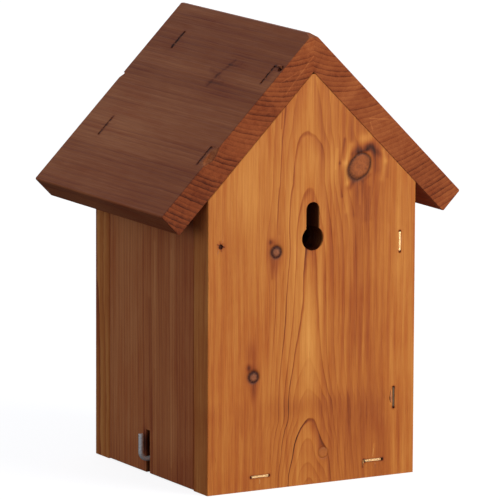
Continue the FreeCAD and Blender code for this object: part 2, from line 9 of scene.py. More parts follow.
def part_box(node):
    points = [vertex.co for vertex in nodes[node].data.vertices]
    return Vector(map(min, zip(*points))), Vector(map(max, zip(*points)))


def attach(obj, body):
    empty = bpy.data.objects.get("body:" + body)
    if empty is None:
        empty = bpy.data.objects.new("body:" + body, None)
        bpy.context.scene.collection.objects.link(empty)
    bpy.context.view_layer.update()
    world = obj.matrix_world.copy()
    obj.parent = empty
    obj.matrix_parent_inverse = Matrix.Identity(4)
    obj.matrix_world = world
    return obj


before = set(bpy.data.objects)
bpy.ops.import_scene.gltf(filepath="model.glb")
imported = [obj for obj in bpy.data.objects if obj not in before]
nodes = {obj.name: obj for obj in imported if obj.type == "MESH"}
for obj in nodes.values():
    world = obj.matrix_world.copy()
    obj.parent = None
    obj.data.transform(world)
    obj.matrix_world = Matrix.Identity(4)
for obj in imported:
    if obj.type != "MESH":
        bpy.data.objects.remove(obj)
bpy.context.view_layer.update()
SCENE = bpy.context.scene

BACK_LO, BACK_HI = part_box("back_panel")
DOOR_LO, DOOR_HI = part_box("side_door")
ROOF_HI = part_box("roof_board_door_side")[1]
MM = 1000.0
BACK_Y = BACK_HI.y * MM            # outer face of the back panel, mm
APEX_Z = 286.3                     # where the two outer roof planes would meet, mm
R2 = math.sqrt(0.5)


# --------------------------------------------------------------------------- node graphs written as arithmetic

class V:
    """One output of a node graph, with arithmetic."""

    def __init__(self, g, socket):
        self.g, self.s = g, socket

    def __add__(self, o): return self.g.math("ADD", self, o)
    def __radd__(self, o): return self.g.math("ADD", o, self)
    def __sub__(self, o): return self.g.math("SUBTRACT", self, o)
    def __rsub__(self, o): return self.g.math("SUBTRACT", o, self)
    def __mul__(self, o): return self.g.math("MULTIPLY", self, o)
    def __rmul__(self, o): return self.g.math("MULTIPLY", o, self)
    def __truediv__(self, o): return self.g.math("DIVIDE", self, o)
    def __rtruediv__(self, o): return self.g.math("DIVIDE", o, self)
    def __neg__(self): return self.g.math("MULTIPLY", self, -1.0)

    def sqrt(self): return self.g.math("SQRT", self.g.math("MAXIMUM", self, 0.0))
    def abs(self): return self.g.math("ABSOLUTE", self)
    def fract(self): return self.g.math("FRACT", self)
    def ceil(self): return self.g.math("CEIL", self)
    def exp(self): return self.g.math("EXPONENT", self)
    def pow(self, p): return self.g.math("POWER", self.g.math("MAXIMUM", self, 0.0), p)
    def max(self, o): return self.g.math("MAXIMUM", self, o)
    def min(self, o): return self.g.math("MINIMUM", self, o)
    def clamp(self): return self.g.math("ADD", self, 0.0, clamp=True)


class Graph:
    """A material with a Principled shader, filled by arithmetic on V."""

    def __init__(self, name):
        self.mat = bpy.data.materials.new(name)
        self.mat.use_nodes = True
        self.t = self.mat.node_tree
        self.t.nodes.clear()
        self.out = self.node("ShaderNodeOutputMaterial")
        self.bsdf = self.node("ShaderNodeBsdfPrincipled")
        self.t.links.new(self.bsdf.outputs[0], self.out.inputs["Surface"])
        self.coords = None

    def node(self, kind, **props):
        n = self.t.nodes.new(kind)
        for k, v in props.items():
            setattr(n, k, v)
        return n

    def put(self, socket, v):
        if isinstance(v, V):
            self.t.links.new(v.s, socket)
        elif isinstance(v, (tuple, list)) and socket.type == "RGBA" and len(v) == 3:
            socket.default_value = (*v, 1.0)
        else:
            socket.default_value = v

    def math(self, op, a, b=None, clamp=False):
        n = self.node("ShaderNodeMath", operation=op, use_clamp=clamp)
        self.put(n.inputs[0], a)
        if b is not None:
            self.put(n.inputs[1], b)
        return V(self, n.outputs[0])

    def position(self):
        """x, y, z in millimetres in the row frame, which are the CAD node's own coordinates, so the grain moves with its board."""
        if self.coords is None:
            c = self.node("ShaderNodeTexCoord")
            self.coords = c
            s = self.node("ShaderNodeVectorMath", operation="SCALE")
            self.t.links.new(c.outputs["Object"], s.inputs[0])
            s.inputs["Scale"].default_value = MM
            sep = self.node("ShaderNodeSeparateXYZ")
            self.t.links.new(s.outputs[0], sep.inputs[0])
            self.xyz = [V(self, o) for o in sep.outputs]
            sep = self.node("ShaderNodeSeparateXYZ")
            self.t.links.new(c.outputs["Normal"], sep.inputs[0])
            self.n = [V(self, o) for o in sep.outputs]
        return self.xyz

    def vec(self, x, y, z):
        n = self.node("ShaderNodeCombineXYZ")
        for s, v in zip(n.inputs, (x, y, z)):
            self.put(s, v)
        return V(self, n.outputs[0])

    def noise(self, x, y, z, detail=2.0, rough=0.5, distort=0.0):
        """Smooth noise, about -0.5 to 0.5."""
        n = self.node("ShaderNodeTexNoise", noise_dimensions="3D")
        self.put(n.inputs["Vector"], self.vec(x, y, z))
        n.inputs["Scale"].default_value = 1.0
        n.inputs["Detail"].default_value = detail
        n.inputs["Roughness"].default_value = rough
        n.inputs["Distortion"].default_value = distort
        return V(self, n.outputs[0]) - 0.5

    def cells(self, x, y, z):
        """Distance to the nearest scattered point."""
        n = self.node("ShaderNodeTexVoronoi", voronoi_dimensions="3D", feature="F1")
        self.put(n.inputs["Vector"], self.vec(x, y, z))
        n.inputs["Scale"].default_value = 1.0
        return V(self, n.outputs["Distance"])

    def random(self, w):
        n = self.node("ShaderNodeTexWhiteNoise", noise_dimensions="1D")
        self.put(n.inputs["W"], w)
        return V(self, n.outputs["Value"])

    def step(self, v, a, b):
        """0 below a, 1 above b, smooth between; a may be above b."""
        n = self.node("ShaderNodeMapRange", interpolation_type="SMOOTHSTEP", clamp=True)
        self.put(n.inputs["Value"], v)
        lo, hi, to = (a, b, (0.0, 1.0)) if a < b else (b, a, (1.0, 0.0))
        n.inputs["From Min"].default_value = lo
        n.inputs["From Max"].default_value = hi
        n.inputs["To Min"].default_value, n.inputs["To Max"].default_value = to
        return V(self, n.outputs["Result"])

    def curve(self, v, points, handle="AUTO_CLAMPED"):
        """A function through (value, result) points, held level beyond the ends."""
        x0, x1 = points[0][0], points[-1][0]
        ys = [p[1] for p in points]
        y0, y1 = min(ys), max(ys)
        span = (y1 - y0) or 1.0
        n = self.node("ShaderNodeFloatCurve")
        c = n.mapping.curves[0]
        n.mapping.extend = "HORIZONTAL"
        flat = [((x - x0) / (x1 - x0), (y - y0) / span) for x, y in points]
        c.points[0].location, c.points[1].location = flat[0], flat[-1]
        for p in flat[1:-1]:
            c.points.new(*p)
        for p in c.points:
            p.handle_type = handle
        n.mapping.update()
        self.put(n.inputs["Value"], ((v - x0) / (x1 - x0)).clamp())
        return V(self, n.outputs[0]) * span + y0

    def blob(self, u, v, cu, cv, su, sv):
        """A smooth spot, 1 at (cu, cv)."""
        du, dv = (u - cu) / su, (v - cv) / sv
        return (-(du * du + dv * dv)).exp()

    def ramp(self, v, stops):
        n = self.node("ShaderNodeValToRGB")
        r = n.color_ramp
        r.interpolation = "LINEAR"
        r.elements[0].position, r.elements[0].color = stops[0][0], (*stops[0][1], 1)
        r.elements[1].position, r.elements[1].color = stops[-1][0], (*stops[-1][1], 1)
        for pos, col in stops[1:-1]:
            r.elements.new(pos).color = (*col, 1)
        self.put(n.inputs["Fac"], v)
        return V(self, n.outputs["Color"])

    def mix(self, fac, a, b, blend="MIX"):
        n = self.node("ShaderNodeMix", data_type="RGBA", blend_type=blend, clamp_factor=True)
        self.put(n.inputs[0], fac)
        self.put(n.inputs[6], a)
        self.put(n.inputs[7], b)
        return V(self, n.outputs[2])

    def bump(self, height, distance, strength=1.0, normal=None):
        n = self.node("ShaderNodeBump")
        n.inputs["Strength"].default_value = strength
        n.inputs["Distance"].default_value = distance
        self.put(n.inputs["Height"], height)
        if normal is not None:
            self.t.links.new(normal.s, n.inputs["Normal"])
        return V(self, n.outputs[0])


def linear(r, g, b, k=1.0):
    """An sRGB colour as linear numbers."""
    return tuple(k * ((c / 255) / 12.92 if c / 255 <= 0.04045 else ((c / 255 + 0.055) / 1.055) ** 2.4) for c in (r, g, b))


# --------------------------------------------------------------------------- timber

def stops(*colours):
    return [(pos, linear(*rgb)) for pos, rgb in colours]


HONEY = stops((0.00, (236, 164, 82)), (0.28, (211, 134, 59)), (0.48, (190, 108, 42)), (0.66, (164, 82, 31)), (0.82, (121, 54, 20)), (1.00, (48, 20, 9)))
# SIDE: HONEY made paler and less red for the two side boards, painted sheen standing for the whitish haze of the shaded
# side
SIDE = stops((0.00, (236, 168, 104)), (0.28, (212, 138, 78)), (0.48, (190, 112, 59)), (0.66, (164, 86, 45)), (0.82, (120, 58, 30)), (1.00, (46, 19, 11)))
ROOF = stops((0.00, (222, 148, 92)), (0.28, (192, 116, 68)), (0.48, (166, 91, 50)), (0.66, (140, 69, 37)), (0.82, (98, 44, 23)), (1.00, (40, 17, 9)))


def near(g, u, v, u0, v0, u1, v1):
    """Distance from the segment (u0, v0)-(u1, v1)."""
    eu, ev = u1 - u0, v1 - v0
    du, dv = u - u0, v - v0
    h = ((du * eu + dv * ev) / (eu * eu + ev * ev)).clamp()
    du, dv = du - h * eu, dv - h * ev
    return (du * du + dv * dv).sqrt()


def stroke(g, u, v, u0, v0, u1, v1, width):
    """A soft line, 1 on its middle."""
    d = near(g, u, v, u0, v0, u1, v1) / width
    return (-(d * d)).exp()


def timber(name, local, rings, seed, palette, base=0.45, late=0.22, sharp=0.06, fibre=0.16, mid=0.16, broad=0.14,
           spacing=3.6, wander=2.6, knots=(), shade=None, end_shade=0.20, end_late=1.6, red=(1.0, 0.84, 0.72), redness=0.0, loudness=None,
           rough=0.50, relief=0.00016, specular=0.13, faces=None):
    """Wood as a solid: rings round the pith, knots that turn the grain aside, fibres along it, and darker end grain.

    local gives (along, across, depth) in mm and the grain axis of the surface normal, and rings gives the distance from the pith, or the ring number."""
    g = Graph(name)
    x, y, z = g.position()
    along, across, depth, facing = local(g, x, y, z)
    ends = g.step(facing.abs(), 0.55, 0.85)
    sway = g.noise(along * 0.011 + seed, across * 0.022, depth * 0.03, 2.0)
    ripple = g.noise(along * 0.055 + seed * 2, across * 0.20, depth * 0.20, 2.0)
    b = across + sway * wander + ripple * (wander * 0.30)
    for k in knots:
        db, da = across - k["b"], along - k["a"]
        turn = (-(db * db / k["sb"] ** 2 + da * da / k["sa"] ** 2)).exp() * k["push"]
        b = b - db * turn
    r = rings(g, along, b, depth)
    n = r[0] if isinstance(r, tuple) else r / spacing
    n = n + ripple * 0.16
    s = n.fract()
    ring = n.ceil()
    chance = g.random(ring * 1.37 + seed)
    soft_loud = chance * 0.9 + 0.35
    line_loud = soft_loud
    if loudness:
        soft_loud, line_loud = loudness(g, ring, chance, along, across)
    soft = g.step(s, 0.05, 0.90) * g.step(s, 1.0, 0.90)
    line = g.step(s, 0.74, 0.94) * g.step(s, 1.0, 0.955)
    fade = g.noise(along * 0.02 + seed * 5, across * 0.08, depth * 0.08, 2.0) * 1.1 + 1.0
    thread = g.noise(along * 0.030 + seed, across * 1.5, depth * 1.5, 3.0, 0.62)
    hair = g.noise(along * 0.09, across * 4.6 + seed, depth * 4.6, 2.0, 0.6)
    streak = g.noise(along * 0.009, across * 0.26 + seed, depth * 0.26, 3.0, 0.55)
    patch = g.noise(along * 0.012 + seed * 3, across * 0.028, depth * 0.03, 2.0, 0.5)
    blotch = g.noise(along * 0.045, across * 0.07 + seed, depth * 0.07, 3.0, 0.6)
    t = base + soft * soft_loud * fade * late * (ends * (end_late - 1.0) + 1.0) + line * line_loud * fade * (sharp + ends * 0.05) \
        + thread * (fibre * 1.5) + hair * (fibre * 0.9) + streak * (mid * 2.2) + patch * (broad * 2.0) + blotch * (broad * 0.9) - late * 0.25
    pore = g.step(g.noise(along * 0.16 + seed, across * 3.4, depth * 3.4, 1.0), 0.20, 0.30)
    t = t + pore * 0.06
    recess_stain_and_shade = None
    if shade:
        extra = shade(g, along, across, depth)
        if isinstance(extra, tuple):
            extra, recess_stain_and_shade = extra
        t = t + extra
    speck = g.noise(along * 0.5, across * 2.6, depth * 2.6, 2.0, 0.7)
    t = t + ends * (end_shade + speck * 0.26)
    tint = g.mix((streak * 1.7 + patch * 1.3 + blotch * 0.8 + redness).clamp(), (1, 1, 1), red)
    height = thread * 0.9 + hair * 0.5 - soft * soft_loud * (0.4 - ends * 0.3) + speck * ends * 1.2 - pore * 0.5
    colour = g.ramp(t.clamp(), palette)
    colour = g.mix(1.0, colour, tint, "MULTIPLY")
    if faces:
        colour = g.mix(1.0, colour, faces(g, ends), "MULTIPLY")
    for k in knots:
        db, da = across - k["b"], along - k["a"]
        wob = g.noise(along * 0.16 + k["a"], across * 0.16, depth * 0.16, 2.0)
        fine = g.noise(along * 0.8 + k["a"], across * 0.8, depth * 0.8, 3.0, 0.65)
        rr = (db * db + da * da + da * db * k.get("skew", 0.0)).sqrt() + wob * k["r"] * 0.13 + fine * 0.6
        inside = g.step(rr, k["r"] + 0.35, k["r"] - 0.35)
        side = (db * k.get("heavy", (0, 0))[0] + da * k.get("heavy", (0, 0))[1]) / k["r"]      # the rim is wider on one side
        edge = (rr - k["r"]) / (side * 0.45 + k.get("width", 0.8))
        rim = (-(edge * edge)).exp() * (fine * 1.1 + 1.0)
        core = ((rr / k["r"] * k.get("rings", 3.0) + wob * 0.5).fract() - 0.5).abs() * 2.0
        heart = g.mix((core * 0.25 + fine * 1.5 + wob * 1.2 + 0.12 + g.step(rr, k["r"] * 0.3, 0.0) * 0.2).clamp(), k["fill"], k["deep"])
        colour = g.mix(inside * k.get("solid", 0.9), colour, heart)
        colour = g.mix((rim * k.get("rim", 0.85)).clamp(), colour, k.get("edge", linear(82, 33, 12)))
        height = height - rim * 1.4 + inside * 0.4
    # painted shade, with some stain in the keyhole's end grain: the walls of cut recesses are darkened towards
    # near-black
    if recess_stain_and_shade is not None:
        colour = g.mix(recess_stain_and_shade, colour, linear(34, 10, 6))
    g.put(g.bsdf.inputs["Base Color"], colour)
    g.put(g.bsdf.inputs["Roughness"], (rough + thread * 0.16 - soft * 0.06 + ends * 0.16 + blotch * 0.12).clamp())
    g.bsdf.inputs["Specular IOR Level"].default_value = specular
    g.put(g.bsdf.inputs["Normal"], g.bump(height, relief))
    return g


def upright_y(g, x, y, z):     # boards in the XZ plane, grain along Z
    return z, x, y - BACK_Y, g.n[2]


def upright_x(g, x, y, z):     # boards in the YZ plane, grain along Z
    return z, y, x - 75.0, g.n[2]


def floor_local(g, x, y, z):   # floor board, grain along X
    return x, y, z, g.n[0]


def slope_local(sign):
    """Roof board: grain along Y, across is the distance down the slope from the ridge, depth is below the outer face."""
    def local(g, x, y, z):
        s = x * (sign * R2)
        h = (z - APEX_Z) * R2
        return y, s - h, -(s + h), g.n[1]
    return local


# back panel: the rings as they show on the outer face, across is X and along is Z

BACK_KNOTS = [
    dict(b=-33.7, a=200.0, r=7.8, sb=15.0, sa=24.0, push=0.95, skew=0.45, rings=1.3, width=1.2, heavy=(0.45, -0.7), fill=linear(172, 92, 42), deep=linear(106, 52, 28),
         solid=0.92, rim=0.90, edge=linear(72, 32, 14)),
    dict(b=26.3, a=150.3, r=3.3, sb=8.5, sa=17.0, push=0.80, rings=1.2, width=1.35, heavy=(0.2, 0.3), fill=linear(160, 96, 62), deep=linear(124, 68, 44), solid=0.95, rim=1.0,
         edge=linear(66, 27, 14)),
    dict(b=42.3, a=72.5, r=3.2, sb=8.0, sa=17.0, push=0.80, rings=1.2, width=1.35, heavy=(0.2, 0.3), fill=linear(160, 96, 62), deep=linear(124, 68, 44), solid=0.95, rim=1.0,
         edge=linear(66, 27, 14)),
    dict(b=-8.4, a=19.5, r=3.4, sb=7.0, sa=14.0, push=0.80, rings=2.2, width=0.6, fill=linear(208, 130, 62), deep=linear(168, 94, 44), solid=0.35, rim=0.42, edge=linear(140, 70, 32)),
]


def back_rings(g, along, b, depth):
    """Ring number on the back panel. The pith runs behind the face and comes nearer to it towards the foot, so the rings close in arches."""
    q = g.curve(along, [(0, 30), (6, 55), (18, 130), (28, 177), (36, 231), (41, 264), (44, 281), (52, 300), (58, 346), (64, 376), (76, 434),
                        (98, 494), (120, 521), (140, 530), (160, 554), (172, 593), (188, 650), (192, 671), (204, 681), (211, 705), (220, 774),
                        (226, 830), (240, 880), (264, 960)])
    centre = g.curve(along, [(0, 1.5), (18, 2.2), (36, 2.0), (44, 1.0), (58, 2.4), (76, 3.0), (98, 2.3), (120, 1.5), (140, 1.5), (160, 2.0),
                             (190, 2.4), (208, 2.0), (226, 4.0), (264, 4.0)])
    w = b - centre
    deep = q.sqrt() + depth * 0.85
    r = (w * w + deep * deep).sqrt()
    n = g.curve(r, [(0, 0), (16.7, 5), (21.3, 7), (23.6, 8), (25.7, 9), (28.8, 10), (34.0, 12), (72, 21.0), (110, 30)])
    return (n,)


def back_loud(g, ring, chance, along, across):
    """A few rings of the back panel have a dark sharp line on the door side of the middle, and a broad band on the other side."""
    table = g.curve(ring, [(0, .15), (4, .15), (5, 1.35), (6, .12), (7, .15), (8, 0.95), (9, 0.45), (10, 1.0), (11, .10), (12, 0.75), (13, .16),
                           (14, .3), (15, .2), (20, .25), (24, .3), (33, .2)], "VECTOR")
    left = g.step(across, -1.0, 5.0)
    calm = 1.0 - (g.step(across, 26.0, 36.0) + g.step(across, -50.0, -62.0)) * 0.55 - g.step(across, -9.0, -18.0) * g.step(across, -62.0, -50.0) * 0.22 \
        - g.blob(along, across, 78.0, 3.0, 30.0, 9.0) * 0.65 - g.step(along, 96.0, 60.0) * g.step(across, -8.0, -16.0) * 0.34
    calm = calm.clamp()
    quiet = (1.0 - g.blob(along, across, 150.3, 26.3, 17.0, 7.0)) * (1.0 - g.blob(along, across, 200.0, -33.7, 16.0, 14.0))
    dim = 1.0 - g.step(across, 16.0, 30.0) * g.step(along, 150.0, 60.0) * 0.7
    return (chance * 0.8 + 0.20 + table * (1.0 - left) * 0.8) * calm, table * (left * 0.85 + 0.25) * dim * calm * quiet * (1.0 - g.step(along, 178.0, 200.0) * 0.32)


def back_shade(g, along, across, depth):
    t = g.curve(across, [(-75, 0.00), (-66, -0.01), (-56, 0.06), (-40, 0.12), (-24, 0.07), (-12, 0.05), (-3, 0.0), (6, -0.05), (20, 0.0), (40, 0.03), (60, 0.03), (75, 0.05)])
    t = t + g.curve(along, [(0, 0.04), (45, 0.05), (62, 0.0), (120, -0.01), (190, -0.01), (225, 0.0), (262, 0.03)])

    def spot(z, x, sz, sx, k):
        nonlocal t
        t = t + g.blob(along, across, z, x, sz, sx) * k

    def mark(x0, z0, x1, z1, width, k):
        nonlocal t
        t = t + stroke(g, across, along, x0, z0, x1, z1, width) * k

    spot(100, 2.0, 48, 6.5, -0.15)
    spot(208, 50, 34, 18, -0.10)
    spot(205, 2, 14, 7, -0.06)
    spot(199, -14, 16, 5.5, -0.13)
    spot(170, -36, 26, 8, 0.12)
    spot(26, -30, 26, 30, 0.06)
    spot(51, 4, 7, 18, 0.12)
    spot(62, 4, 40, 9, 0.045)
    spot(40, 62, 30, 12, -0.05)
    spot(46, -30, 14, 16, 0.05)
    spot(30, 2, 9, 5, -0.08)
    spot(214, -8, 12, 3.2, 0.13)
    spot(236, -3, 16, 2.6, 0.07)
    spot(155, -10, 22, 5, -0.06)
    spot(155, 54, 20, 9, 0.06)
    spot(240, 14, 12, 4, 0.05)
    # round the large knot
    mark(-30.5, 209.2, -41.0, 212.0, 3.3, 0.25)
    mark(-41.0, 212.0, -48.5, 207.0, 2.8, 0.19)
    mark(-44.5, 207.0, -46.5, 197.0, 3.0, 0.11)
    mark(-28.0, 208.0, -25.4, 198.0, 1.5, 0.12)
    mark(-33.0, 208.8, -40.0, 210.2, 0.9, 0.12)
    mark(-50.8, 208.5, -52.6, 202.0, 1.7, -0.18)
    mark(-52.6, 202.0, -49.8, 191.0, 1.9, -0.12)
    mark(-54.6, 206.0, -54.0, 192.0, 1.0, 0.10)
    spot(217.5, -38, 3.4, 5.0, -0.26)
    spot(222.0, -28, 9.0, 3.0, 0.10)
    mark(-27.6, 214.0, -23.6, 203.0, 2.0, -0.22)
    mark(-41.5, 194.0, -36.0, 190.6, 1.2, 0.12)
    mark(-29.0, 191.0, -26.6, 187.0, 1.8, 0.24)
    mark(-22.4, 203.0, -24.2, 190.0, 1.8, -0.20)
    mark(-22.8, 218.0, -19.6, 203.0, 1.1, 0.20)
    mark(-19.6, 203.0, -21.0, 182.0, 1.2, 0.20)
    mark(-17.4, 212.0, -16.2, 200.0, 1.0, -0.10)
    mark(-24.4, 190.0, -24.0, 172.0, 1.6, -0.14)
    mark(-31.0, 189.0, -30.2, 170.0, 2.4, 0.11)
    mark(-36.5, 189.0, -37.5, 166.0, 2.2, 0.10)
    mark(-41.0, 186.0, -42.0, 166.0, 1.2, 0.10)
    mark(-34.0, 187.0, -34.2, 176.0, 0.8, -0.08)
    # round the small knots
    spot(157.0, 30.0, 2.0, 1.9, 0.32)
    spot(150.3, 26.8, 7.5, 5.5, 0.22)
    spot(141, 27.8, 8, 2.8, 0.20)
    mark(29.4, 146.0, 29.0, 134.0, 0.9, 0.14)
    mark(24.0, 162.0, 24.6, 190.0, 1.2, 0.08)
    spot(164, 28.0, 9, 3.5, 0.08)
    spot(78.6, 45.6, 2.4, 1.8, 0.32)
    spot(72.5, 42.6, 6.5, 5.0, 0.20)
    spot(88, 44, 8, 3.2, 0.15)
    spot(63, 42, 6, 2.8, 0.18)
    # dark fine lines that run past the arches
    mark(22.4, 238.0, 23.0, 228.0, 0.35, 0.22)
    # holes and splits at the fasteners, with painted shade round the staple crowns and in the holes at their ends
    mark(66.0 + 2.4, 158.6, 66.0 - 2.6, 156.6, 0.45, 0.30)
    mark(66.0 + 0.6, 160.4, 66.0 - 0.4, 154.2, 0.40, 0.22)
    spot(157.0, 66.0, 2.3, 2.3, 0.34)
    # painted shade along each staple crown and in the holes at its two ends
    for x0, z0, x1, z1 in ((-63.5, 143.6, -63.5, 156.2), (-59.9, 43.6, -59.9, 56.4), (31.0, 8.8, 43.6, 8.8), (-39.0, 10.9, -51.7, 10.9)):
        mark(x0, z0, x1, z1, 1.15, 0.16)
        spot(z0, x0, 1.1, 1.1, 0.42)
        spot(z1, x1, 1.1, 1.1, 0.42)
    mark(-38.0, 11.6, -37.6, 7.2, 0.7, 0.20)
    mark(-45.0, 13.5, -45.6, 21.0, 0.6, -0.14)
    mark(-58.0, 46.0, -58.2, 54.0, 0.8, -0.16)
    # the walls of the keyhole are darkened to near-black: some stain soaked into their end grain, the rest painted
    # shade
    keyhole_stain_and_shade = g.step(depth, -0.5, -2.0) * g.step(across.abs(), 10.0, 9.0) * g.step(along, 146.0, 147.5) * g.step(along, 184.0, 182.5)
    # painted shade along the joint under the roof boards
    joint_shade = g.step(along + across.abs(), 260.9, 262.0) * g.step(depth, -1.0, -0.6)
    return t, (keyhole_stain_and_shade * 0.80 + joint_shade * 0.45).clamp()


def edge_faces(g, ends):
    """Painted sheen: faces turned to the sides, the long edges of a panel, are made paler and bluer, the whitish haze
    of a face in shade.
    """
    return g.mix(g.step(g.n[0].abs(), 0.6, 0.9), (1.0, 1.0, 1.0), (1.06, 1.15, 1.62))


def roof_faces(g, ends):
    """The weather side of a roof board is greyer than its end grain."""
    near_side = g.step(g.position()[1], -60.0, 84.0)
    weather = g.mix(near_side, (1.02, 1.13, 1.22), (0.98, 1.02, 1.02))
    return g.mix(ends, weather, (1.0, 0.95, 0.80))


def door_faces(g, ends):
    """The door's faces are made paler and bluer and its end grain warmer; the bluer faces are painted sheen, the
    whitish haze of the shaded side.
    """
    return g.mix(ends, (1.03, 1.05, 1.18), (1.0, 0.95, 0.80))


back = timber("back_timber", upright_y, back_rings, 3.1, HONEY, base=0.423, late=0.115, sharp=0.40, fibre=0.20, mid=0.25, broad=0.14, wander=1.3,
              knots=BACK_KNOTS, shade=back_shade, loudness=back_loud, faces=edge_faces)


def plain_rings(cu, cv, tilt=0.0):
    """Rings round a pith at (across, depth) = (cu, cv), which drifts along the board."""
    def rings(g, along, b, depth):
        du = b - cu + along * tilt
        dv = depth - cv
        return (du * du + dv * dv).sqrt()
    return rings


def door_shade(g, along, across, depth):
    # across the door: bands of the grain, over painted shade that grows darker from the front edge towards the back
    # edge
    t = g.curve(across, [(-66, -0.05), (-45, -0.035), (-20, -0.055), (0, 0.0), (12, 0.03), (16, -0.04), (20, 0.055), (36, 0.035), (38, -0.03), (42, 0.045), (65, 0.075)])
    t = t + stroke(g, across, along, 15.0, 150.0, 15.4, 70.0, 1.4) * -0.10
    t = t + stroke(g, across, along, 37.0, 148.0, 37.5, 10.0, 1.0) * -0.10
    t = t + stroke(g, across, along, 8.5, 112.0, 10.5, 30.0, 2.2) * 0.10
    t = t + g.blob(along, across, 19.0, 3.0, 8.5, 2.0) * 0.50       # painted shadow of the hook's leg on the door face
    # painted shade under the eave at the top of the door; darker towards the foot as well
    t = t + g.curve(along, [(0, 0.10), (14, 0.05), (40, 0.0), (150, 0.0), (186, 0.05)])
    # painted shade: the walls of the hook's slot are darkened
    slot_shade = g.step(depth, -0.4, -1.6) * g.step((across - 7.0).abs(), 4.0, 3.2) * g.step(along, 31.0, 29.5)
    return t, slot_shade * 0.7


def roof_shade(sign):
    """Marks of the roof boards: across is the distance down the slope, along is Y."""
    def shade(g, along, across, depth):
        t = g.curve(across, [(0, 0.02), (8, 0.0), (13, 0.07), (22, 0.03), (28, 0.06), (42, -0.01), (48, -0.04), (52, 0.05), (66, 0.0), (84, -0.04),
                             (108, -0.05), (122, 0.02), (140, 0.0), (153, 0.03)])
        top = g.step(depth, 3.0, 1.0)
        if sign > 0:
            t = t + g.step(along, -30.0, 70.0) * g.step(across, 66.0, 96.0) * 0.045 + 0.012
            for y0, d0, y1, d1 in ((-54.0, 21.6, -54.0, 34.6), (-54.6, 94.0, -54.6, 109.2), (72.4, 30.0, 72.4, 43.4), (75.2, 97.0, 75.2, 110.0)):
                rag = g.noise(along * 0.6, across * 0.45 + d0, depth * 0.6, 3.0, 0.7) * 5.0
                d = (near(g, along, across, y0, d0, y1, d1) + rag) / 0.95
                t = t + (-(d * d)).exp() * 0.34 * top
                t = t + stroke(g, along, across, y0, d0, y1, d1, 2.4) * 0.04
            t = t + stroke(g, along, across, -60.0, d_mid(94.0, 109.2), -46.0, d_mid(94.0, 109.2) - 3, 0.45) * 0.12 * top
            # a small knot with checks
            for y0, d0, y1, d1, k in ((26.0, 33.0, 20.0, 46.0, 0.22), (20.0, 46.0, 18.5, 54.0, 0.20), (8.0, 43.0, 24.0, 47.0, 0.16), (16.0, 53.0, 32.0, 50.5, 0.14),
                                      (25.0, 38.0, 36.0, 34.0, 0.12)):
                rag = g.noise(along * 0.5 + d0, across * 0.5, depth * 0.5, 3.0, 0.7) * 5.0
                d = (near(g, along, across, y0, d0, y1, d1) + rag) / 1.7
                t = t + (-(d * d)).exp() * (k * 0.62) * top
            t = t + g.blob(along, across, 23.0, 45.0, 12.0, 8.0) * 0.04 - g.blob(along, across, -35.0, 100.0, 55.0, 30.0) * 0.06
            # the split from the upper staple out to the gable edge, and the raw patches beside the two staples
            t = t + stroke(g, along, across, 73.0, 29.6, 80.5, 30.4, 1.0) * 0.26 * top + g.blob(along, across, 80.6, 30.6, 1.7, 1.7) * 0.62
            bite = g.step(((along - 86.2) * (along - 86.2) + (across - 103.0) * (across - 103.0) + (depth + 10.3) * (depth + 10.3)).sqrt(), 13.5, 13.1)
            t = t - bite * (g.noise(along * 0.3, across * 2.0, depth * 2.0, 2.0) * 0.6 + 0.04) - g.blob(along, across, 80.5, 38.0, 2.6, 6.0) * 0.10
            t = t + stroke(g, along, across, 75.5, 97.0, 79.0, 95.6, 0.8) * 0.30 * top
            gable = g.step(along, 82.5, 83.6)
            t = t + gable * (g.curve(across, [(0, -0.06), (20, 0.0), (45, 0.09), (90, 0.14), (153, 0.15)]))
            t = t - gable * stroke(g, across, depth, 9.0, 10.0, 40.0, 12.0, 0.35) * 0.16
            t = t - gable * stroke(g, across, depth, 26.0, 8.5, 38.0, 4.0, 0.30) * 0.16
        else:
            gable = g.step(along, 82.5, 83.6)
            t = t + gable * g.curve(across, [(0, 0.02), (60, 0.02), (95, 0.09), (130, 0.11), (148, 0.0), (153, -0.02)])
            t = t - gable * stroke(g, across, depth, 69.0, 11.0, 80.0, 2.0, 0.35) * 0.20
            t = t - gable * stroke(g, across, depth, 71.0, 12.5, 76.0, 15.0, 0.35) * 0.16
        return t
    return shade


def d_mid(a, b):
    return (a + b) / 2


front = timber("front_timber", upright_y, plain_rings(9.0, -175.0, 0.02), 11.7, HONEY, base=0.42, late=0.20, wander=5.0, faces=edge_faces)
door = timber("door_timber", upright_x, plain_rings(-95.0, -40.0, 0.01), 21.3, SIDE, base=0.46, late=0.09, sharp=0.05, fibre=0.15, mid=0.16, broad=0.08,
              spacing=3.2, redness=0.05, shade=door_shade, faces=door_faces)
side = timber("side_timber", upright_x, plain_rings(30.0, -170.0, 0.012), 31.9, SIDE, base=0.43, late=0.16, sharp=0.05, wander=4.0, redness=0.12)
base_board = timber("floor_timber", floor_local, plain_rings(5.0, -22.0, 0.01), 41.3, HONEY, base=0.44, late=0.20)
roof_a = timber("roof_timber_door_side", slope_local(1), plain_rings(-22.0, -50.0, 0.004), 52.1, ROOF, base=0.475, late=0.075, sharp=0.05, spacing=3.1, wander=2.0, fibre=0.20,
                mid=0.10, broad=0.07, end_shade=0.02, end_late=1.75, shade=roof_shade(1), rough=0.58, faces=roof_faces)
roof_b = timber("roof_timber_fixed_side", slope_local(-1), plain_rings(-10.0, -45.0, 0.004), 61.7, ROOF, base=0.475, late=0.075, sharp=0.05, spacing=3.1, wander=2.0, fibre=0.20,
                mid=0.10, broad=0.07, end_shade=0.02, end_late=1.75, shade=roof_shade(-1), rough=0.58, faces=roof_faces)


# --------------------------------------------------------------------------- metal

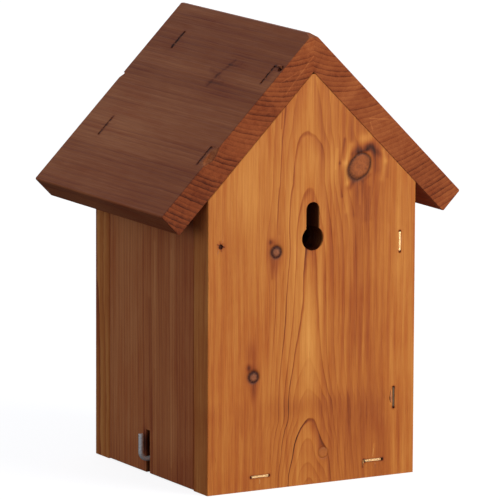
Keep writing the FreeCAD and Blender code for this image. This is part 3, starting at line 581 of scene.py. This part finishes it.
def metal(name, light, dark, rough, grime, seed, scale=0.9, shine=0.95, stained_below=0.0):
    g = Graph(name)
    x, y, z = g.position()
    mottled = g.noise(x * scale + seed, y * scale, z * scale, 3.0, 0.6)
    fine = g.noise(x * 6.0, y * 6.0 + seed, z * 6.0, 2.0, 0.6)
    rust = g.step(g.noise(x * 0.7, y * 0.7, z * 0.7 + seed, 3.0, 0.65), 0.5 - grime, 0.62 - grime)
    if stained_below:      # the lowest staple of a row is covered in wood stain
        rust = (rust + g.step(z + mottled * 4.0, stained_below, stained_below - 4.0) * 1.3).clamp()
    colour = g.mix((mottled * 2.2 + 0.5 + fine * 0.4).clamp(), light, dark)
    colour = g.mix(rust * 0.86, colour, linear(58, 30, 19) if stained_below else linear(80, 44, 26))
    g.put(g.bsdf.inputs["Base Color"], colour)
    g.put(g.bsdf.inputs["Metallic"], (shine - rust * 0.6).clamp())
    g.put(g.bsdf.inputs["Roughness"], (rough + mottled * 0.25 + fine * 0.12 + rust * 0.3).clamp())
    g.put(g.bsdf.inputs["Normal"], g.bump(fine + mottled, 0.00004))
    return g


zinc = metal("zinc_wire_metal", linear(250, 248, 236), linear(200, 198, 186), 0.42, 0.02, 1.7, shine=0.46)
brass = metal("staple_wire_metal", linear(240, 204, 150), linear(200, 150, 98), 0.42, 0.06, 5.3)
brass_side = metal("staple_wire_side", linear(240, 204, 150), linear(200, 150, 98), 0.42, 0.06, 5.3, stained_below=100.0)
dull = metal("staple_wire_dull", linear(126, 80, 56), linear(70, 40, 27), 0.55, 0.20, 8.9)
iron = metal("nail_steel_metal", linear(84, 46, 34), linear(34, 16, 12), 0.6, 0.2, 12.1)

LOOKS = {
    "back_panel": back, "front_panel": front, "side_door": door, "fixed_side": side, "floor_board": base_board,
    "roof_board_door_side": roof_a, "roof_board_fixed_side": roof_b, "latch_hook": zinc,
    "pivot_nail_back": iron, "pivot_nail_front": iron,
    "staples_back_to_side": brass_side, "staples_back_to_floor": brass, "staples_front_to_side": brass, "staples_front_to_floor": brass,
    "staples_door_slope_to_back": dull, "staples_door_slope_to_front": dull,
    "staples_fixed_slope_to_back": dull, "staples_fixed_slope_to_front": dull,
}
for name, look in LOOKS.items():
    o = nodes[name]
    o.data.materials.clear()
    o.data.materials.append(look.mat)


# --------------------------------------------------------------------------- torn fibres and splinters

def raw_wood(name, light, dark, seed, local=upright_y):
    """Fresh torn wood, paler than the stained face."""
    g = Graph(name)
    x, y, z = g.position()
    along, across, depth, facing = local(g, x, y, z)
    fibre = g.noise(along * 0.10 + seed, across * 3.0, depth * 3.0, 3.0, 0.65)
    cloud = g.noise(along * 0.4, across * 0.6 + seed, depth * 0.6, 2.0)
    g.put(g.bsdf.inputs["Base Color"], g.mix((fibre * 2.2 + cloud * 0.8 + 0.45).clamp(), light, dark))
    g.put(g.bsdf.inputs["Roughness"], (0.68 + fibre * 0.3).clamp())
    g.bsdf.inputs["Specular IOR Level"].default_value = 0.15
    g.put(g.bsdf.inputs["Normal"], g.bump(fibre, 0.00012))
    return g


def splinter(name, spine, width, height, out, look, tail=0.25, lean=0.0):
    """A sliver torn from a face: a closed, tapering, slightly twisted strip along spine (points in mm), lifted along out."""
    bm = bmesh.new()
    out = Vector(out).normalized()
    pts = [Vector(p) for p in spine]
    fine = []
    for i in range(len(pts) - 1):           # three steps for each run, rounded by averaging
        for k in range(3):
            fine.append(pts[i].lerp(pts[i + 1], k / 3))
    fine.append(pts[-1])
    for _ in range(2):
        fine = [fine[0]] + [(fine[i - 1] + fine[i] * 2 + fine[i + 1]) / 4 for i in range(1, len(fine) - 1)] + [fine[-1]]
    rows = []
    count = len(fine) - 1
    for i, p in enumerate(fine):
        t = i / count
        ahead = (fine[min(i + 1, count)] - fine[max(i - 1, 0)]).normalized()
        across = ahead.cross(out).normalized()
        swell = max(math.sin(math.pi * (t * (1 - tail) + tail * 0.5)), 0.08) * (1.0 + 0.22 * math.sin(7.3 * i + width * 5))
        w, h = width * 0.5 * swell, height * swell
        twist = lean + 0.35 * math.sin(2.1 * t + width)
        ring = []
        for u, v in ((-1.0, -0.25), (-0.72, 0.55), (-0.18, 1.0), (0.42, 0.78), (1.0, 0.10), (0.35, -0.45)):
            u2 = u * math.cos(twist) - v * math.sin(twist) * 0.5
            v2 = v + u * math.sin(twist) * 0.4
            ring.append(bm.verts.new((p + across * (u2 * w) + out * (v2 * h * 0.5 + 0.02)) / MM))
        rows.append(ring)
    for a, b in zip(rows, rows[1:]):
        for k in range(6):
            bm.faces.new((a[k], a[(k + 1) % 6], b[(k + 1) % 6], b[k]))
    bm.faces.new(list(reversed(rows[0])))
    bm.faces.new(rows[-1])
    bmesh.ops.recalc_face_normals(bm, faces=bm.faces)
    data = bpy.data.meshes.new(name)
    bm.to_mesh(data)
    bm.free()
    for p in data.polygons:
        p.use_smooth = True
    o = bpy.data.objects.new(name, data)
    data.materials.append(look.mat)
    SCENE.collection.objects.link(o)
    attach(o, "carcass")
    return o


def on_slope(down, y, lift=0.0):
    """A point on the outer face of the door-side roof board, mm."""
    return (down * R2 + lift * R2, y, APEX_Z - down * R2 + lift * R2)


torn = raw_wood("torn_back_fibre", linear(236, 172, 104), linear(190, 116, 56), 2.2)
torn_red = raw_wood("torn_back_fibre_red", linear(222, 146, 100), linear(160, 88, 48), 4.4)
torn_roof = raw_wood("torn_roof_fibre", linear(190, 112, 66), linear(120, 58, 30), 6.6, slope_local(1))
F = BACK_Y - 0.12
BACKWARD = (0, 1, 0)
UPWARD = (1, 0, 1)
splinter("splinter_floor_staple_a", [(-37.9, F, 12.0), (-37.7, F + 0.25, 10.6), (-37.6, F + 0.3, 9.0), (-37.9, F, 7.4)], 0.85, 0.55, BACKWARD, torn)
splinter("splinter_floor_staple_b", [(-44.9, F, 13.0), (-45.2, F + 0.1, 15.4), (-45.5, F, 19.0)], 0.55, 0.30, BACKWARD, torn)
splinter("splinter_floor_staple_c", [(-46.4, F, 9.6), (-46.8, F + 0.1, 7.6), (-46.7, F, 5.2)], 0.6, 0.30, BACKWARD, torn_red)
splinter("splinter_floor_staple_d", [(37.6, F, 7.8), (37.3, F + 0.12, 6.0), (37.5, F, 3.4)], 0.6, 0.28, BACKWARD, torn)
splinter("splinter_side_staple_low", [(-58.1, F, 55.0), (-57.9, F + 0.3, 52.4), (-57.8, F + 0.35, 49.6), (-58.3, F, 46.0)], 1.6, 0.70, BACKWARD, torn_red, lean=0.3)
splinter("splinter_side_staple_top", [(-64.7, F, 155.2), (-64.8, F + 0.12, 151.5), (-64.6, F, 147.2)], 0.5, 0.32, BACKWARD, torn_red)
splinter("splinter_pivot_low", [(67.2, F, 155.6), (67.9, F + 0.15, 154.0), (68.3, F, 151.8)], 0.6, 0.30, BACKWARD, torn_red)
splinter("splinter_pivot_up", [(64.9, F, 158.8), (64.5, F + 0.1, 160.6), (64.6, F, 162.4)], 0.4, 0.22, BACKWARD, torn_red)
S1 = [on_slope(99.5, 78.0, -0.10), on_slope(101.5, 79.0, 0.35), on_slope(105.0, 79.2, 0.40), on_slope(108.5, 77.6, -0.10)]
splinter("splinter_slope_staple_low_a", S1, 1.7, 0.9, UPWARD, torn_roof)
S2 = [on_slope(96.4, 76.2, -0.05), on_slope(95.7, 78.4, 0.20), on_slope(96.6, 80.9, -0.05)]
splinter("splinter_slope_staple_low_b", S2, 1.0, 0.5, UPWARD, torn_roof)
S3 = [on_slope(29.6, 73.6, -0.10), on_slope(28.6, 76.0, 0.45), on_slope(28.8, 79.0, 0.50), on_slope(30.2, 81.6, -0.05)]
splinter("splinter_slope_staple_top_a", S3, 1.5, 0.9, UPWARD, torn_roof)
S4 = [on_slope(31.8, 74.6, -0.05), on_slope(34.5, 75.4, 0.15), on_slope(38.5, 74.8, -0.05)]
splinter("splinter_slope_staple_top_b", S4, 0.7, 0.4, UPWARD, torn_roof)
S5 = [on_slope(23.0, -52.6, -0.05), on_slope(27.0, -52.2, 0.12), on_slope(30.5, -52.6, -0.05)]
splinter("splinter_slope_front_top", S5, 0.6, 0.35, UPWARD, torn_roof)
for i, (down, y, run) in enumerate(((26.0, -54.4, 2.6), (31.5, -54.0, 2.2), (98.5, -54.9, 2.4), (104.5, -54.5, 2.8), (34.0, 72.6, 2.2), (39.5, 72.2, 2.4), (101.0, 75.4, 2.2))):
    across = [on_slope(down - 0.5, y - run, -0.06), on_slope(down, y, 0.16), on_slope(down + 0.6, y + run, -0.06)]
    splinter("splinter_slope_fibre_%d" % (i + 1), across, 0.8, 0.36, UPWARD, torn_roof)
S6 = [on_slope(98.0, -56.6, -0.05), on_slope(102.5, -56.9, 0.12), on_slope(106.0, -56.5, -0.05)]
splinter("splinter_slope_front_low", S6, 0.6, 0.35, UPWARD, torn_roof)


# --------------------------------------------------------------------------- floor, light, camera

mesh = bpy.data.meshes.new("studio_floor")
E = 60.0
mesh.from_pydata([(-E, -E, 0), (E, -E, 0), (E, E, 0), (-E, E, 0)], [], [(0, 1, 2, 3)])
ground = bpy.data.objects.new("studio_floor", mesh)
ground.location.z = -0.0002
SCENE.collection.objects.link(ground)
m = bpy.data.materials.new("studio_floor")
m.use_nodes = True
t = m.node_tree
t.nodes.clear()
out = t.nodes.new("ShaderNodeOutputMaterial")
white = t.nodes.new("ShaderNodeBsdfDiffuse")
white.inputs["Color"].default_value = (0.34, 0.34, 0.34, 1)
glow = t.nodes.new("ShaderNodeEmission")
glow.inputs["Color"].default_value = (1, 1, 1, 1)
glow.inputs["Strength"].default_value = 0.86
lit = t.nodes.new("ShaderNodeAddShader")
dim = t.nodes.new("ShaderNodeBsdfDiffuse")
dim.inputs["Color"].default_value = (0.10, 0.10, 0.10, 1)
pick = t.nodes.new("ShaderNodeMixShader")
path = t.nodes.new("ShaderNodeLightPath")
t.links.new(white.outputs[0], lit.inputs[0])
t.links.new(glow.outputs[0], lit.inputs[1])
t.links.new(path.outputs["Is Camera Ray"], pick.inputs[0])
t.links.new(dim.outputs[0], pick.inputs[1])
t.links.new(lit.outputs[0], pick.inputs[2])
under = t.nodes.new("ShaderNodeMixShader")
clear = t.nodes.new("ShaderNodeBsdfTransparent")
geo = t.nodes.new("ShaderNodeNewGeometry")
t.links.new(geo.outputs["Backfacing"], under.inputs[0])
t.links.new(pick.outputs[0], under.inputs[1])
t.links.new(clear.outputs[0], under.inputs[2])
t.links.new(under.outputs[0], out.inputs["Surface"])
mesh.materials.append(m)

world = bpy.data.worlds.new("studio")
SCENE.world = world
world.use_nodes = True
t = world.node_tree
t.nodes.clear()
out = t.nodes.new("ShaderNodeOutputWorld")
fill = t.nodes.new("ShaderNodeBackground")
fill.inputs["Color"].default_value = (0.93, 1.0, 1.20, 1)
fill.inputs["Strength"].default_value = 0.32
sky = t.nodes.new("ShaderNodeBackground")
sky.inputs["Strength"].default_value = 1.0
path = t.nodes.new("ShaderNodeLightPath")
pick = t.nodes.new("ShaderNodeMixShader")
t.links.new(path.outputs["Is Camera Ray"], pick.inputs[0])
t.links.new(fill.outputs[0], pick.inputs[1])
t.links.new(sky.outputs[0], pick.inputs[2])
t.links.new(pick.outputs[0], out.inputs["Surface"])


def softbox(name, towards, distance, size, power, colour=(1, 1, 1), aim=(0, 0, 0.13)):
    light = bpy.data.lights.new(name, "AREA")
    light.shape = "DISK"
    light.size = size
    light.energy = power
    light.color = colour
    o = bpy.data.objects.new(name, light)
    d = Vector(towards).normalized()
    o.location = Vector(aim) + d * distance
    o.rotation_mode = "QUATERNION"
    o.rotation_quaternion = (-d).to_track_quat("-Z", "Y")
    SCENE.collection.objects.link(o)
    return o


softbox("key_light", (-0.52, 0.84, 0.20), 2.4, 1.5, 52.0, (1.0, 0.985, 0.96))
softbox("front_light", (-0.35, -0.90, 0.30), 2.8, 2.2, 9.0, (1.0, 0.99, 0.96))
softbox("fill_light", (0.95, 0.30, 0.10), 2.6, 2.0, 14.0, (0.96, 1.0, 1.22))

SCENE.view_settings.view_transform = "Standard"
SCENE.view_settings.look = "None"
SCENE.view_settings.exposure = 0.0
SCENE.view_settings.gamma = 1.0

az, el, roll = (math.radians(v) for v in (150.2428, 10.0404, 0.2457))
backward = Vector((math.sin(az) * math.cos(el), -math.cos(az) * math.cos(el), math.sin(el)))
forward = -backward
right = forward.cross(Vector((0, 0, 1))).normalized()
up = right.cross(forward)
right, up = right * math.cos(roll) + up * math.sin(roll), up * math.cos(roll) - right * math.sin(roll)
spot = Vector((0, 31.5, 120)) - (right * 13.333 - up * 20.918 + forward * 3691.607)
cam_data = bpy.data.cameras.new("camera")
cam_data.sensor_fit = "HORIZONTAL"
cam_data.sensor_width = 36.0
cam_data.lens = 5827.184 / 500 * 36
cam_data.shift_x, cam_data.shift_y = 0.001, 0.0005
cam_data.clip_start, cam_data.clip_end = 0.05, 200.0
camera = bpy.data.objects.new("camera", cam_data)
camera.matrix_world = Matrix.Translation(spot / MM) @ Matrix((right, up, backward)).transposed().to_4x4()
SCENE.collection.objects.link(camera)
SCENE.camera = camera
